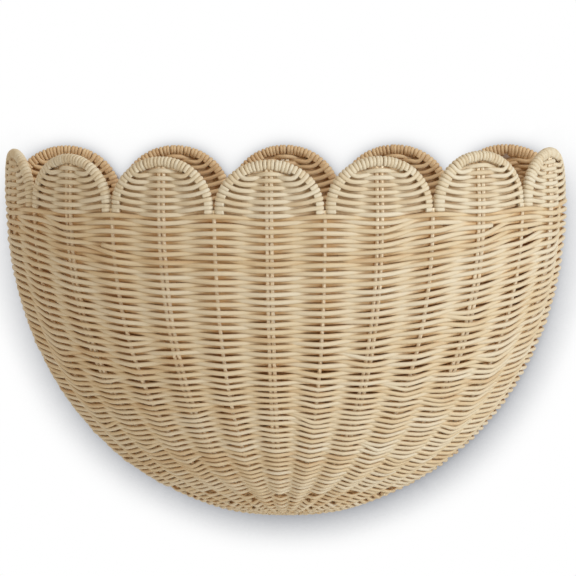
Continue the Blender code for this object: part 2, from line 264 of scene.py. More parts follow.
# Skin of the core: how fine its fibres and streaks are along and round a strand, and its patches
# and pores over the basket; the shares of tone, streaks, patches and fibres in its level, and what
# is taken off; where on the level its colours lie; and for the painted shade on strands that lie
# behind, where its colours lie, its share and how much darker its darkest colour is
FIBRE_SCALE = (90, 26, 1)
STREAK_SCALE = (22, 2.2, 1)
PATCH_SCALE = 34
PORE_SCALE = 2600
SKIN_SHARES = (0.27, 0.5, 0.3, 0.22)
SKIN_SHIFT = 0.145
SKIN_PLACES = (0.12, 0.42, 0.8)
FAR_PLACES = (0.1, 0.6)
FAR_SHARE = 0.9
DULLNESS = 0.9
# Strand ends: how far the skin's pattern is taken up along and round the strand
END_PATTERN = (0.0008, 0.1)
# Grain of the peeled stakes, and patches on it
GRAIN_SCALE = (1800, 1800, 60)
STAKE_PATCH_SCALE = 45

# Stage: the floor, the wall, and the painted soft shadow on it, with its strengths at the valleys
# and at the lowest point and the openness between which a spot counts as covered and is painted dark
FLOOR_HALF = 3.0
FLOOR_DEPTH = 0.25
WALL_HALF = 1.6
WALL_Y = 0.0015
SHADOW_REACH = 0.028
SHADOW_SAMPLES = 16
SHADOW_TOP = 0.78
SHADOW_FOOT = 1.6
COVERED = (0.42, 0.27)

# Light: the room's strength and shade on the basket, and two soft lamps
WHITE = (1.0, 1.0, 1.0, 1.0)
WARM_SHADE = (1.0, 0.905, 0.755, 1.0)
AMBIENT = 0.65
LAMP_COLOUR = (0.765, 0.885, 1.0)
KEY_PLACE = (1.9, -1.47, 0.8)
KEY_AIM = (0, -0.05, -0.08)
KEY_SIZE = 1.3
KEY_POWER = 44.0
GLOW_PLACE = (0, -0.34, -0.42)
GLOW_AIM = (0, -0.08, -0.14)
GLOW_SIZE = 0.3
GLOW_POWER = 0.22

# Camera: angles in degrees, distance, focal length and picture width in pixels, and the point
# that it looks at, as a place and how far to its right and up from there
AZIMUTH, ELEVATION, ROLL = 4.4303, 5.788, -0.4212
DISTANCE = 1.9
FOCAL_PIXELS = 3403.6
PICTURE_PIXELS = 576
SENSOR_MM = 36
AIM = (0, -0.05, -0.09)
AIM_SHIFT = (0.0049, 0.0207)
CLIP = (0.05, 20)


def unit(vectors):
    """Vectors divided by their lengths."""
    return vectors / np.linalg.norm(vectors, axis=-1, keepdims=True)


def ease(share):
    """Smooth step: 3 t squared less 2 t cubed, for t clipped between 0 and 1."""
    t = np.clip(share, 0, 1)
    return t * t * (3 - 2 * t)


def share_at(z):
    """Share of the full plan at height z, from share^n + depth^n = 1."""
    depth = np.abs(VALLEY_Z - z) / DROP
    return (1 - depth**ROUND) ** (1 / ROUND)


def height_at(share):
    """Height at which the bowl keeps this share of its plan."""
    return VALLEY_Z - DROP * (1 - share**ROUND) ** (1 / ROUND)


def bowl(turn, z):
    """Points and outward normals of the middle surface: the plan's ellipse, shrunk to its share
    at height z. The normal is the gradient of the superellipsoid's equation."""
    share = share_at(z)
    depth = (VALLEY_Z - z) / DROP
    across, out = np.cos(turn), -np.sin(turn)
    y = FRONT_PLANE + FRONT_REACH * share * out
    points = np.stack([HALF_WIDTH * share * across, y, z + 0 * turn], -1)
    rim = share ** (ROUND - 1)
    down = -np.sign(depth) * np.abs(depth) ** (ROUND - 1)
    normals = np.stack([rim * across / HALF_WIDTH, rim * out / FRONT_REACH, down / DROP + 0 * turn], -1)
    return points, unit(normals)


PLAN_TURNS = np.linspace(0, math.pi, PLAN_SAMPLES)
PLAN_STEPS = np.hypot(
    np.diff(HALF_WIDTH * np.cos(PLAN_TURNS)), np.diff(FRONT_REACH * np.sin(PLAN_TURNS))
)
PLAN_RUNS = np.concatenate([[0], np.cumsum(PLAN_STEPS)])
FRONT_SPACING = PLAN_RUNS[-1] / FRONT_STATIONS
BACK_SPACING = 2 * HALF_WIDTH / BACK_STATIONS


def turn_at(run):
    """Turn at this length along the rim, counted from the left corner."""
    return math.pi - np.interp(run, PLAN_RUNS, PLAN_TURNS)


STATION_TURNS = turn_at(FRONT_SPACING * np.arange(FRONT_STATIONS + 1))


def stake_turn(station, share):
    """Turn at which a stake's upright plane meets the plan shrunk to this share: a level line
    from the base's centre towards the rim meets the ellipse where a quadratic says."""
    rim_turn = STATION_TURNS[station]
    out_x = HALF_WIDTH * np.cos(rim_turn)
    out_y = BASE_CENTRE_REACH - FRONT_REACH * np.sin(rim_turn)
    reach = np.hypot(out_x, out_y)
    out_x, out_y = out_x / reach, out_y / reach
    square = (out_x / HALF_WIDTH) ** 2 + (out_y / FRONT_REACH) ** 2
    half = -BASE_CENTRE_REACH * out_y / FRONT_REACH**2
    rest = (BASE_CENTRE_REACH / FRONT_REACH) ** 2 - share**2
    length = (np.sqrt(half**2 - square * rest) - half) / square
    x, y = length * out_x, length * out_y - BASE_CENTRE_REACH
    turn = np.arctan2(-y / FRONT_REACH, x / HALF_WIDTH)
    return np.where(station == 0, math.pi, np.where(station == FRONT_STATIONS, 0, turn))


def front_surface(q, z):
    """Middle surface at station q and height z. Between stakes the turn goes in proportion."""
    lower = np.clip(np.floor(q).astype(int), 0, FRONT_STATIONS - 1)
    share = share_at(z)
    first = stake_turn(lower, share)
    return bowl(first + (q - lower) * (stake_turn(lower + 1, share) - first), z)


ACROSS = np.linspace(0, FRONT_STATIONS, FRONT_STATIONS * STEPS + 1)
SCALLOP_MIDDLE = np.sin(math.pi * ACROSS / 2) ** 2


def weave_swing(q):
    """Side on which a strand passes, from 1 before a stake to -1 behind one: an arc sine of a
    cosine, between a wave and a zigzag."""
    return np.arcsin(SWING_SHARPNESS * np.cos(math.pi * q)) / math.asin(SWING_SHARPNESS)


def weave_width(behind):
    """Widening of a strand, by how far it has passed behind the stakes, from 0 to 1."""
    return WEAVE_WIDENING + BEHIND_WIDENING * behind


def row_end(index, row, station, onward):
    """Where a row's end counts in the stack, and where its strand ends, in stations."""
    if station in (0, FRONT_STATIONS):
        return station, station
    passes_before = (index + station) % 2 == 0 and (row, station) not in SEEN_ENDS
    counted, reached = LONG_END if passes_before else SHORT_END
    return station + onward * counted, station + onward * reached


def list_rows():
    """All front rows from rim to base as (row of the middle, left end, right end)."""
    spans = []
    for row in range(UPPER_ROWS + LOWER_ROWS):
        short = SHORT_PAIRS.get(row) or SHORT_PAIRS.get(row - 1)
        spans.append((row,) + (short or (0, FRONT_STATIONS)))
        if row in LEFT_PAIRS:
            spans += [(row, 0, LEFT_PAIRS[row])] * 2
        if row in RIGHT_PAIRS:
            spans += [(row, FRONT_STATIONS - RIGHT_PAIRS[row], FRONT_STATIONS)] * 2
    rows = []
    for index, (row, left, right) in enumerate(spans):
        rows.append((row, row_end(index, row, left, -1), row_end(index, row, right, 1)))
    return rows


def presence(left, right, spread):
    """How much of a row's pitch counts: all along it, and none past its ends. The change is
    spread over some stations round each end."""
    counted = np.ones_like(ACROSS)
    if left > 0:
        counted = counted * ease((ACROSS - left) / spread + 0.5)
    if right < FRONT_STATIONS:
        counted = counted * ease((right - ACROSS) / spread + 0.5)
    return counted


def stacked(spans, pitches, start):
    """Depths of rows: below each row's start line come the counted pitches of all rows above it
    and half its own. Further down, the ends of a row above are felt over a wider stretch."""
    depths = []
    for row in range(len(spans)):
        depth = start + 0 * ACROSS
        for above in range(row + 1):
            spread = min(LEAST_SPREAD * SPREAD_GROWTH ** (row - above), WIDEST_SPREAD)
            part = 0.5 if above == row else 1.0
            depth = depth + part * pitches[above] * presence(*spans[above], spread)
        depths.append(depth)
    return np.array(depths) - pitches[0] / 2


def uneven(count, along, size, seed):
    """Gentle unevenness of handwork: a sum of six waves with random phases for each of count rows.
    A whole number of each goes into the way round front and back."""
    draws = np.random.default_rng(seed)
    phases = draws.uniform(0, 2 * math.pi, (count, 1, len(WAVES)))
    sizes = draws.normal(0, WAVE_SPREAD, (count, 1, len(WAVES)))
    around = 2 * math.pi * along[None, :, None] / (FRONT_STATIONS + BACK_STATIONS)
    return size * (sizes * np.sin(np.array(WAVES) * around + phases)).sum(-1)


def row_heights(rows):
    """Height of every row at every sample across. Rows are stacked down the stakes from the rim's
    line, and the lower zone is stretched so that it ends at the base's edge."""
    levels = np.linspace(VALLEY_Z, height_at(BASE_SHARE), LEVELS)
    grid_q, grid_z = np.meshgrid(ACROSS, levels)
    points, normals = front_surface(grid_q, grid_z)
    lengths = np.linalg.norm(np.diff(points, axis=0), axis=-1)
    depths = np.concatenate([np.zeros((1, len(ACROSS))), np.cumsum(lengths, 0)])
    zone = np.array([row for row, left, right in rows])
    pitches = np.where(zone < UPPER_ROWS, UPPER_PITCH, LOWER_PITCH)
    spans = [(left[0], right[0]) for row, left, right in rows]
    start = ROW_START + ROW_SAG * SCALLOP_MIDDLE
    down = stacked(spans, pitches, start)
    from_corner = np.minimum(ACROSS, FRONT_STATIONS - ACROSS)
    down = start + (down - start) * (1 - CORNER_SQUEEZE * ease(1 - from_corner / SQUEEZE_REACH))
    down += ROW_SAG * (1 - SCALLOP_MIDDLE) * (1 - np.exp(-(down - ROW_START) / SAG_FADE))
    last = np.max(np.nonzero(zone < UPPER_ROWS))
    room = (depths[-1] - LOWER_PITCH / 2 - down[last]) / (down[-1] - down[last])
    down[last + 1:] = down[last] + (down[last + 1:] - down[last]) * room
    place = np.arange(len(rows))[:, None] / len(rows)
    dip = ease((place - DIP_START) / DIP_GROWTH) * ease((1 - place) / DIP_END)
    from_valley = np.abs((ACROSS + 1) % 2 - 1)
    down += VALLEY_DIP * dip * np.clip(1 - from_valley / DIP_HALF_WIDTH, 0, 1)
    down += uneven(len(rows), ACROSS, ROW_WAVE, 11)
    return np.stack([np.interp(down[:, i], depths[:, i], levels) for i in range(len(ACROSS))], -1)


class Bundle:
    """Round strands that become one mesh. Each has its rings of points and its tone."""

    def __init__(self, seed):
        self.draws = np.random.default_rng(seed)
        self.corners, self.quads, self.caps, self.uvs, self.cap_uvs = [], [], [], [], []
        self.tones, self.inward = [], []
        self.total = 0

    def add(self, points, facing, radius, inward=0.0, tone=None, wide=WEAVE_WIDENING):
        """Carries a circle of the radius along the points, pressed wider across the facing side.
        Its first corner looks away from that side, where the seam of the pattern then lies."""
        count = len(points)
        steps = np.diff(points, axis=0)
        tangent = unit(np.concatenate([steps[:1], points[2:] - points[:-2], steps[-1:]]))
        side = unit(np.cross(tangent, facing))
        out = np.cross(side, tangent)
        circle = math.pi + 2 * math.pi * np.arange(SIDES) / SIDES
        wide_side = side * np.broadcast_to(wide, count)[:, None]
        ring = out[:, None] * np.cos(circle)[None, :, None]
        ring = ring + wide_side[:, None] * np.sin(circle)[None, :, None]
        size = radius * self.draws.uniform(*THICKNESSES)
        self.corners.append((points[:, None] + size * ring).reshape(-1, 3))
        i = np.arange(count - 1)[:, None]
        j = np.arange(SIDES)[None, :]
        here, there, beside = i * SIDES, (i + 1) * SIDES, (j + 1) % SIDES
        quad = np.stack([here + j, here + beside, there + beside, there + j], -1).reshape(-1, 4)
        self.quads.append(quad + self.total)
        run = np.concatenate([[0], np.cumsum(np.linalg.norm(steps, axis=-1))])
        run = run + self.draws.uniform(*PATTERN_STARTS)
        u0, u1 = run[i] + 0 * j, run[i + 1] + 0 * j
        v0, v1 = j / SIDES + 0 * i, (j + 1) / SIDES + 0 * i
        self.uvs.append(np.stack([u0, v0, u0, v1, u1, v1, u1, v0], -1).reshape(-1, 2))
        first = self.total + np.arange(SIDES)[::-1]
        final = self.total + (count - 1) * SIDES + np.arange(SIDES)
        self.caps += [first, final]
        ahead, round_it = END_PATTERN
        disc = np.stack([run[0] + ahead * np.cos(circle), 0.5 + round_it * np.sin(circle)], -1)
        self.cap_uvs += [disc[::-1], disc]
        tone = self.draws.uniform(0, 1) if tone is None else tone
        self.tones.append(np.full(count * SIDES, tone))
        self.inward.append(np.repeat(np.broadcast_to(inward, count), SIDES))
        self.total += count * SIDES

    def make(self, name, material, slot, nodes):
        """The mesh of all strands as a piece that stands for these nodes."""
        mesh = bpy.data.meshes.new(name)
        corners = np.concatenate(self.corners)
        quads = np.concatenate(self.quads)
        caps = np.array(self.caps, int)
        loops = np.concatenate([quads.ravel(), caps.ravel()])
        sizes = np.concatenate([np.full(len(quads), 4), np.full(len(caps), SIDES)])
        mesh.vertices.add(len(corners))
        mesh.vertices.foreach_set("co", corners.astype(np.float32).ravel())
        mesh.loops.add(len(loops))
        mesh.loops.foreach_set("vertex_index", loops.astype(np.int32))
        mesh.polygons.add(len(sizes))
        starts = np.concatenate([[0], np.cumsum(sizes)[:-1]])
        mesh.polygons.foreach_set("loop_start", starts.astype(np.int32))
        mesh.update(calc_edges=True)
        mesh.polygons.foreach_set("use_smooth", (sizes == 4))
        layer = mesh.uv_layers.new(name="along")
        uvs = np.concatenate(self.uvs + self.cap_uvs)
        layer.uv.foreach_set("vector", uvs.astype(np.float32).ravel())
        # Each strand's own tone, and how far it lies behind, which sets its painted shade
        for label, values in (("tone", self.tones), ("inward", self.inward)):
            attribute = mesh.attributes.new(label, "FLOAT", "POINT")
            attribute.data.foreach_set("value", np.concatenate(values).astype(np.float32))
        mesh.validate()
        mesh.materials.append(material)
        piece = bpy.data.objects.new(name, mesh)
        bpy.context.scene.collection.objects.link(piece)
        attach(piece, "root")
        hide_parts(*nodes)


class Shade:
    """One output of a shader node. Sums and products on it add Math nodes."""

    def __init__(self, nodes, socket):
        self.nodes, self.socket = nodes, socket

    def math(self, operation, first, second):
        return self.nodes.node("ShaderNodeMath", {"operation": operation}, {0: first, 1: second})

    def __add__(self, other):
        return self.math("ADD", self, other)

    def __radd__(self, other):
        return self.math("ADD", other, self)

    def __sub__(self, other):
        return self.math("SUBTRACT", self, other)

    def __rsub__(self, other):
        return self.math("SUBTRACT", other, self)

    def __mul__(self, other):
        return self.math("MULTIPLY", self, other)

    def __rmul__(self, other):
        return self.math("MULTIPLY", other, self)


class Nodes:
    """The nodes of a material or of the world under construction."""

    def __init__(self, tree):
        self.tree = tree

    def node(self, kind, settings, inputs, output=0):
        """Adds a node: its settings first, then the values or links of its inputs."""
        made = self.tree.nodes.new(kind)
        for key, value in settings.items():
            setattr(made, key, value)
        for key, value in inputs.items():
            self.feed(made.inputs[key], value)
        return Shade(self, made.outputs[output])

    def feed(self, socket, value):
        """Links a shade to a socket, or sets the socket's own value."""
        if isinstance(value, Shade):
            self.tree.links.new(value.socket, socket)
        else:
            socket.default_value = value

    def place(self):
        """Where a point lies on the basket."""
        return self.node("ShaderNodeTexCoord", {}, {}, "Object")

    def ramp(self, factor, stops):
        """A colour ramp through stops of (place, colour)."""
        shade = self.node("ShaderNodeValToRGB", {}, {0: factor})
        elements = shade.socket.node.color_ramp.elements
        stops = list(stops)
        while len(elements) < len(stops):
            elements.new(0.5)
        for element, (place, colour) in zip(elements, stops):
            element.position, element.color = place, linear(colour)
        return shade

    def noise(self, vector, scale, detail, rough=0.5):
        """A noise value between 0 and 1."""
        inputs = {"Vector": vector, "Scale": scale, "Detail": detail, "Roughness": rough}
        return self.node("ShaderNodeTexNoise", {"noise_dimensions": "3D"}, inputs)

    def stretched(self, vector, scale):
        """A vector with each of its axes scaled."""
        return self.node("ShaderNodeMapping", {}, {"Vector": vector, "Scale": scale})

    def mapped(self, value, span, result=(0.0, 1.0), kind="LINEAR"):
        """A value carried from one span to another, and kept within it."""
        inputs = {"Value": value, "From Min": span[0], "From Max": span[1]}
        inputs.update({"To Min": result[0], "To Max": result[1]})
        return self.node("ShaderNodeMapRange", {"interpolation_type": kind}, inputs)

    def blend(self, factor, first, second):
        """Mixes two colours, which are a Mix node's sockets 6 and 7 and its output 2."""
        inputs = {0: factor, 6: first, 7: second}
        return self.node("ShaderNodeMix", {"data_type": "RGBA"}, inputs, 2)

    def bump(self, height, strength, distance):
        """A normal that follows a height."""
        inputs = {"Strength": strength, "Distance": distance, "Height": height}
        return self.node("ShaderNodeBump", {}, inputs)


class Finish(Nodes):
    """A material and its Principled BSDF."""

    def __init__(self, name):
        self.material = bpy.data.materials.new(name)
        self.material.use_nodes = True
        super().__init__(self.material.node_tree)
        self.shader = self.tree.nodes["Principled BSDF"]

    def set(self, **sockets):
        """Feeds the shader's own sockets, whose names have spaces for underscores."""
        for key, value in sockets.items():
            self.feed(self.shader.inputs[key.replace("_", " ")], value)

    def show(self, share):
        """Lets the shader show in this share and light pass through in the rest."""
        clear = self.node("ShaderNodeBsdfTransparent", {}, {})
        full = Shade(self, self.shader.outputs[0])
        mixed = self.node("ShaderNodeMixShader", {}, {0: share, 1: clear, 2: full})
        self.feed(self.tree.nodes["Material Output"].inputs[0], mixed)


def linear(daylight):
    """A colour as a shader takes it, from values between 0 and 255."""
    return tuple((channel / 255) ** 2.2 for channel in daylight) + (1.0,)


def rattan(name, colours, two_sided=False):
    """Peeled rattan core: fibre lines along the strand, honey patches that drift over the basket,
    a tone for each strand, a painted warm shade on the parts of strands that lie behind the stakes,
    and painted shade on the flanks where strands touch. The far side of a strand has the same painted
    shade as its flanks unless it is two-sided."""
    deep, mid, pale, shaded, groove_shade = colours
    finish = Finish(name)
    along = finish.node("ShaderNodeUVMap", {"uv_map": "along"}, {})
    place = finish.place()
    tone = finish.node("ShaderNodeAttribute", {"attribute_name": "tone"}, {}, "Fac")
    inward = finish.node("ShaderNodeAttribute", {"attribute_name": "inward"}, {}, "Fac")
    fibres = finish.noise(finish.stretched(along, FIBRE_SCALE), 1.0, 3, 0.6)
    streaks = finish.noise(finish.stretched(along, STREAK_SCALE), 1.0, 3)
    patches = finish.noise(place, PATCH_SCALE, 3, 0.6)
    level = SKIN_SHARES[0] * tone + SKIN_SHARES[1] * streaks
    level = level + SKIN_SHARES[2] * patches + SKIN_SHARES[3] * fibres - SKIN_SHIFT
    colour = finish.ramp(level, zip(SKIN_PLACES, (deep, mid, pale)))
    # Painted warm shade on the parts of strands that lie behind the stakes, by their inward attribute
    dull = tuple(DULLNESS * channel for channel in shaded)
    far = finish.ramp(level, zip(FAR_PLACES, (dull, shaded)))
    recess_shaded = finish.blend(FAR_SHARE * inward, colour, far)
    # Painted shade on the flanks where strands touch, and on a strand's far side unless it is two-sided
    round_share = finish.node("ShaderNodeSeparateXYZ", {}, {0: along}, "Y")
    off_face = finish.node("ShaderNodeMath", {"operation": "ABSOLUTE"}, {0: round_share - 0.5})
    flank = finish.mapped(off_face, FLANK, kind="SMOOTHSTEP")
    if two_sided:
        flank = flank * finish.mapped(off_face, FAR_SIDE)
    finish.set(Base_Color=finish.blend(FLANK_SHADE_DEPTH * flank, recess_shaded, linear(groove_shade)))
    finish.set(Roughness=0.45 + 0.25 * fibres + 0.1 * patches)
    height = 0.7 * fibres + 0.3 * finish.noise(place, PORE_SCALE, 2)
    finish.set(Normal=finish.bump(height, 0.35, 0.00025))
    return finish.material


def stake_finish():
    """Peeled round stakes, kept from the frame: grain along Z on Object coordinates."""
    finish = Finish("peeled_frame_stakes")
    place = finish.place()
    grain = finish.noise(finish.stretched(place, GRAIN_SCALE), 1.0, 3, 0.6)
    level = 0.6 * grain + 0.5 * finish.noise(place, STAKE_PATCH_SCALE, 2)
    finish.set(Base_Color=finish.ramp(level, STAKE_STOPS), Roughness=0.45 + 0.2 * grain)
    finish.set(Normal=finish.bump(grain, 0.3, 0.0002))
    return finish.material


def corner_turn(end, inward, swing, tail):
    """The way round the frame rod: a quarter circle from the bowl's line to the back's, then a
    straight tail along it. Returns points, outward normals and the side on which it passes."""
    angles = np.linspace(0, math.pi / 2, CORNER_SAMPLES)[1:]
    wall = np.array([0.0, 1.0, 0.0])
    cos, sin = np.cos(angles)[:, None], np.sin(angles)[:, None]
    points = end + CORNER_RADIUS * ((1 - cos) * inward + sin * wall)
    normals = unit(sin * wall - cos * inward)
    beyond = np.asarray(tail)[:, None] * inward + points[-1]
    points = np.concatenate([points, beyond])
    normals = np.concatenate([normals, np.repeat(wall[None], len(beyond), 0)])
    return points, normals, np.full(len(points), swing)


def with_turns(strand, inward, first, final, tail):
    """A strand, as points, normals and swings, with a turn round the frame rod put on at each end
    that reaches a corner. First and final are its samples, and inward points away from the rod."""
    points, normals, swing = strand
    parts = [strand]
    if final == len(ACROSS):
        parts.append(corner_turn(points[-1], inward[-1], swing[-1], tail))
    if first == 0:
        turn = corner_turn(points[0], inward[0], swing[0], tail)
        parts.insert(0, tuple(part[::-1] for part in turn))
    return (np.concatenate(column) for column in zip(*parts))


def weave_front(rows, heights):
    """All weavers of the bowl, from the frame rod round to the frame rod. At each end they turn
    round the rod and end on the back."""
    upper, lower, sides = Bundle(1), Bundle(2), Bundle(3)
    swings = uneven(len(rows), ACROSS, SWING_WAVE, 12)
    for index, (row, left, right) in enumerate(rows):
        first, final = round(left[1] * STEPS), round(right[1] * STEPS) + 1
        q, z = ACROSS[first:final], heights[index, first:final]
        points, normals = front_surface(q, z)
        radius = CORE_RADIUS if row < UPPER_ROWS else FINE_RADIUS
        strand = (points, normals, (-1) ** index * weave_swing(q))
        points, normals, swing = with_turns(strand, -normals, first, final, TAIL)
        extra = np.interp(np.arange(len(points)), np.arange(len(ACROSS)), swings[index])
        reach = (STAKE_RADIUS + radius) * swing + extra * np.abs(swing)
        bundle = upper if row < UPPER_ROWS else lower
        if first > 0 or final < len(ACROSS):
            bundle = sides
        behind = ease(-swing)
        path = points + normals * reach[:, None]
        bundle.add(path, normals, radius, behind, wide=weave_width(behind))
    return upper, lower, sides


def weave_back():
    """Rows of the back, which sag in the scallops' middles at first and run level further down.
    They end at the frame rod, in the middle of the wall, between the bowl's weavers that turn
    round the rod."""
    bundle = Bundle(4)
    top = VALLEY_Z - ROW_START
    bottom = height_at(0.0) + BACK_FOOT
    for index in range(int((top - ROW_SAG - bottom) / BACK_PITCH)):
        down = BACK_PITCH * index
        fade = 1 - math.exp(-down / SAG_FADE)
        end = HALF_WIDTH * share_at(top - down - ROW_SAG * fade) - BACK_EDGE
        samples = max(LEAST_SAMPLES, int(2 * end / BACK_SPACING * STEPS))
        x = np.linspace(end, -end, samples)
        across = (HALF_WIDTH - x) / BACK_SPACING
        middle = np.sin(math.pi * across / 2) ** 2
        z = top - down - ROW_SAG * (middle + (1 - middle) * fade)
        swing = (-1) ** index * weave_swing(across) * ease((end - np.abs(x)) / BACK_FADE)
        rise = uneven(1, across, SWING_WAVE, BACK_ROW_SEED + index)[0]
        points = np.stack([x, -WALL / 2 + swing * (STAKE_RADIUS + CORE_RADIUS), z + rise], -1)
        behind = ease(-swing)
        facing = np.tile([0.0, 1.0, 0.0], (samples, 1))
        bundle.add(points, facing, CORE_RADIUS, behind, wide=weave_width(behind))
    return bundle


def base_surface(plan):
    """The bowl's surface over a plan point, and its normal: the share is the point's distance
    from the middle in the plan's own ellipse."""
    x, y = plan[:, 0] / HALF_WIDTH, (plan[:, 1] - FRONT_PLANE) / FRONT_REACH
    share = np.hypot(x, y)
    depth = (1 - share**ROUND) ** (1 / ROUND)
    rim = share ** (ROUND - 2)
    down = -depth ** (ROUND - 1)
    normals = unit(np.stack([rim * x / HALF_WIDTH, rim * y / FRONT_REACH, down / DROP], -1))
    return np.stack([plan[:, 0], plan[:, 1], VALLEY_Z - DROP * depth], -1), normals


def base_presence(span):
    """Where a row of the base counts: all round, or up to a station from either end."""
    if span is None:
        return np.ones_like(ACROSS)
    over = SHORT_END[0]
    return presence(0, span + over, 1) + presence(FRONT_STATIONS - span - over, FRONT_STATIONS, 1)


def base_ranges(span):
    """The samples that a row of the base runs over, as (first, one past the last) for each part."""
    if span is None:
        return [(0, len(ACROSS))]
    reached = span * STEPS + BASE_PASS
    return [(0, reached), (len(ACROSS) - reached, len(ACROSS))]


def weave_base():
    """Rows of the base from its edge to its centre. Pairs turn back at the stake past which they
    would lie closer than a pitch, and which pairs those are goes by golden shares."""
    bundle = Bundle(5)
    edge = front_surface(ACROSS, np.full_like(ACROSS, height_at(BASE_SHARE)))[0][:, :2]
    near_wall = np.clip(np.minimum(ACROSS, FRONT_STATIONS - ACROSS), 0, 1)
    centre = np.stack([0 * ACROSS, FRONT_PLANE - BASE_CENTRE_REACH * near_wall], -1)
    reach = np.linalg.norm(edge - centre, axis=-1)
    fullest = reach.max()
    spans = []
    for pair in range(int(fullest / BASE_PITCH / 2)):
        limit = (pair * GOLDEN_STEP + GOLDEN_START) % 1.0
        ends = [s for s in range(1, FRONT_STATIONS // 2) if reach[s * STEPS] / fullest <= limit]
        spans += [min(ends) if ends else None] * 2
    thick = BASE_PITCH * np.array([base_presence(span) for span in spans])
    down = BASE_PITCH * BASE_START + np.cumsum(thick, 0) - thick / 2
    down = down * (reach - BASE_HEART) / down[-1]
    for index, span in enumerate(spans):
        for first, final in base_ranges(span):
            part = slice(first, final)
            share = (down[index, part] / reach[part])[:, None]
            points, normals = base_surface(edge[part] + (centre[part] - edge[part]) * share)
            swing = (-1) ** index * weave_swing(ACROSS[part]) * (1 - BASE_FLATTENING * share[:, 0])
            points = points + normals * BASE_BULGE * ease(share / BULGE_SHARE)
            upward = np.tile([0, 0, 1.0], (len(points), 1))
            strand = (points, normals, swing)
            points, normals, swing = with_turns(strand, upward, first, final, TAIL[:1])
            reach_out = (STAKE_RADIUS + FINE_RADIUS) * swing
            bundle.add(points + normals * reach_out[:, None], normals, FINE_RADIUS, ease(-swing))
    return bundle


class Arch:
    """The middle line of an arch rod: short upright legs and a half ellipse between them."""

    def __init__(self, half, rise, place):
        self.place = place
        self.lift = rise / ARCH_RISE
        angles = np.linspace(0, math.pi, ARCH_SAMPLES)
        crown = ARCH_LEG + (rise - ARCH_LEG) * np.sin(angles)
        across = np.concatenate([[-half], -half * np.cos(angles), [half]])
        up = np.concatenate([[-LEG_DROP], crown, [-LEG_DROP]])
        self.line = np.stack([across, up], -1)
        steps = np.linalg.norm(np.diff(self.line, axis=0), axis=-1)
        self.runs = np.concatenate([[0], np.cumsum(steps)])
        self.length = self.runs[-1]

    def point(self, run):
        """Point of the line at this length from the left leg's foot."""
        return np.stack([np.interp(run, self.runs, self.line[:, i]) for i in (0, 1)], -1)

    def outward(self, run):
        """Direction across the rod, away from the tongue."""
        ahead = unit(self.point(run + ARCH_STEP) - self.point(run - ARCH_STEP))
        return np.stack([-ahead[..., 1], ahead[..., 0]], -1)

    def wrap(self, run, first, final, count):
        """Half circle round the rod from one side of the weave to the other, as (across, up, out)
        and the directions away from the rod. The angle is a right one in front of the rod and 0
        at its outer side."""
        angles = np.linspace(first, final, count)[:, None]
        away = np.concatenate([self.outward(run) * np.cos(angles), np.sin(angles)], -1)
        return np.append(self.point(run), 0) + BINDING_RING * away, away


def smooth_line(points, count):
    """Cubic curve of Bezier's kind through the first and the last of four points."""
    t = np.linspace(0, 1, count)[:, None]
    a, b, c, d = points
    return (1 - t) ** 3 * a + 3 * t * (1 - t) ** 2 * b + 3 * t**2 * (1 - t) * c + t**3 * d


def tongue_row(arch, left_run, right_run, middle, side, detour):
    """A weaver of a tongue, from rod to rod, as a list of strands. In side +1 it passes before
    the pair of stakes and behind both rods, and its ends come round them to the front. In side
    -1 it passes behind the stakes and before the rods, and its ends go to the back. The detour
    takes it over or under a hanging hole, as a bell curve across."""
    facing = np.array([[0.0, 0.0, 1.0]])
    at_stakes = BINDING_RING + STAKE_RADIUS + BINDING_RADIUS
    halves, ends = [], []
    for run, stub in ((left_run, LEFT_STUB), (right_run, RIGHT_STUB)):
        rod, out = arch.point(run), arch.outward(run)
        level = np.array([rod[0] * LEVEL_SHARE, middle])
        corners = [rod, rod - out * SQUARE_RUN, level, np.array([0, middle])]
        half = smooth_line(corners, HALF_SAMPLES)
        way = 1 - half[:, 0] / rod[0]
        depth = at_stakes * ease((way - KEPT_SIDE) / (1 - KEPT_SIDE)) - BINDING_RING
        half[:, 1] += detour * np.exp(-((half[:, 0] / DETOUR_REACH) ** 2))
        halves.append(np.concatenate([half, side * depth[:, None]], -1))
        turn, away = arch.wrap(run, -side * math.pi / 2, side * math.pi / 2, WRAP_SAMPLES)
        length = stub if side > 0 else HIDDEN_STUB
        steps = np.linspace(0, 1, STUB_SAMPLES)[1:, None]
        tail = turn[-1] - np.append(out, 0) * steps * length
        faces = np.concatenate([away, np.repeat(away[-1:], len(tail), 0)])
        ends.append((np.concatenate([turn, tail]), faces))
    row = np.concatenate([halves[0], halves[1][::-1][1:]])
    strands = [(row, np.repeat(facing, len(row), 0))]
    if side > 0:
        return strands + ends
    (left, left_faces), (right, right_faces) = ends
    points = np.concatenate([left[::-1][:-1], row, right[1:]])
    faces = np.concatenate([left_faces[::-1][:-1], strands[0][1], right_faces[1:]])
    return [(points, faces)]


def binding_turn(arch, run, reach):
    """A tight turn over the rod near its top: in front, over, and behind, with both ends pushed
    down into the weave."""
    turn, away = arch.wrap(run, math.pi / 2, -math.pi / 2, TURN_SAMPLES)
    steps = np.linspace(0, 1, TUCK_SAMPLES)[1:, None]
    flat = arch.point(run) - arch.outward(run) * steps * reach
    tuck = BINDING_RING * (1 - TUCK_SHARE * steps**2)
    front = np.concatenate([flat, tuck], -1)
    behind = np.concatenate([flat, -tuck], -1)
    before, after = np.repeat(away[:1], len(steps), 0), np.repeat(away[-1:], len(steps), 0)
    return np.concatenate([front[::-1], turn, behind]), np.concatenate([before, away, after])


